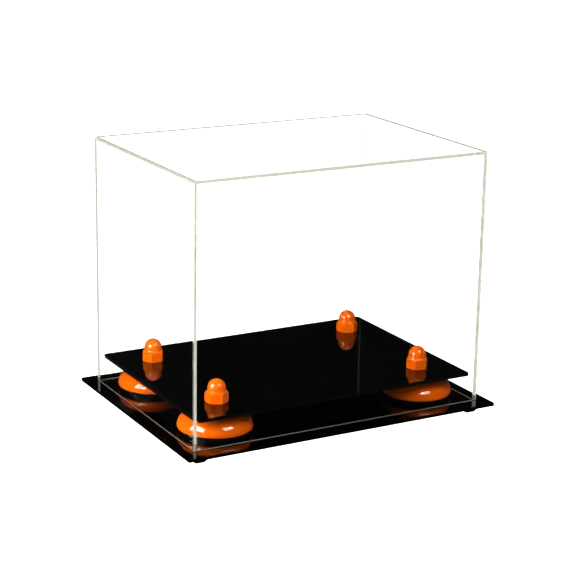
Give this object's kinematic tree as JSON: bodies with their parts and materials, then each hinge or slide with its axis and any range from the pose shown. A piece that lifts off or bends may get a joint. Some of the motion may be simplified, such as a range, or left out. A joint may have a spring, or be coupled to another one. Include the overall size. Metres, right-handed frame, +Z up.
{
  "type": "football display case",
  "caption": "Clear acrylic display cover that lifts off a black base with a raised deck on domed corner risers, for a mini football helmet.",
  "frame": {"origin": "on the table under the middle of the case: bottom centre of the whole box", "axes": "+X along the long side to the right, +Y to the back, +Z up"},
  "size_m": [0.259, 0.1942, 0.1995],
  "materials": {
    "clear_acrylic": "clear, polished",
    "black_acrylic": "mirror gloss",
    "orange_plastic": "gloss",
    "black_plastic": "satin",
    "black_rubber": "matte",
    "zinc_steel": "zinc plated"
  },
  "bodies": {
    "base": {"base_plate": "black_acrylic", "display_deck": "black_acrylic", "riser_dome_front_left": "orange_plastic", "riser_disc_front_left": "black_plastic", "riser_bolt_front_left": "zinc_steel", "riser_nut_front_left": "zinc_steel", "foot_front_left": "black_rubber", "riser_dome_front_right": "orange_plastic", "riser_disc_front_right": "black_plastic", "riser_bolt_front_right": "zinc_steel", "riser_nut_front_right": "zinc_steel", "foot_front_right": "black_rubber", "riser_dome_back_left": "orange_plastic", "riser_disc_back_left": "black_plastic", "riser_bolt_back_left": "zinc_steel", "riser_nut_back_left": "zinc_steel", "foot_back_left": "black_rubber", "riser_dome_back_right": "orange_plastic", "riser_disc_back_right": "black_plastic", "riser_bolt_back_right": "zinc_steel", "riser_nut_back_right": "zinc_steel", "foot_back_right": "black_rubber"},
    "cover": {"cover_top_panel": "clear_acrylic", "cover_front_panel": "clear_acrylic", "cover_back_panel": "clear_acrylic", "cover_left_panel": "clear_acrylic", "cover_right_panel": "clear_acrylic"},
    "cap_front_left": {"nut_cap_front_left": "orange_plastic"},
    "cap_front_right": {"nut_cap_front_right": "orange_plastic"},
    "cap_back_left": {"nut_cap_back_left": "orange_plastic"},
    "cap_back_right": {"nut_cap_back_right": "orange_plastic"}
  },
  "joints": [
    {"name": "cover_lift", "type": "slide", "parent": "base", "child": "cover", "axis": [0, 0, 1], "range_m": [0, 0.2]},
    {"name": "cap_lift_front_left", "type": "slide", "parent": "base", "child": "cap_front_left", "axis": [0, 0, 1], "range_m": [0, 0.018]},
    {"name": "cap_lift_front_right", "type": "slide", "parent": "base", "child": "cap_front_right", "axis": [0, 0, 1], "range_m": [0, 0.018]},
    {"name": "cap_lift_back_left", "type": "slide", "parent": "base", "child": "cap_back_left", "axis": [0, 0, 1], "range_m": [0, 0.018]},
    {"name": "cap_lift_back_right", "type": "slide", "parent": "base", "child": "cap_back_right", "axis": [0, 0, 1], "range_m": [0, 0.018]}
  ]
}
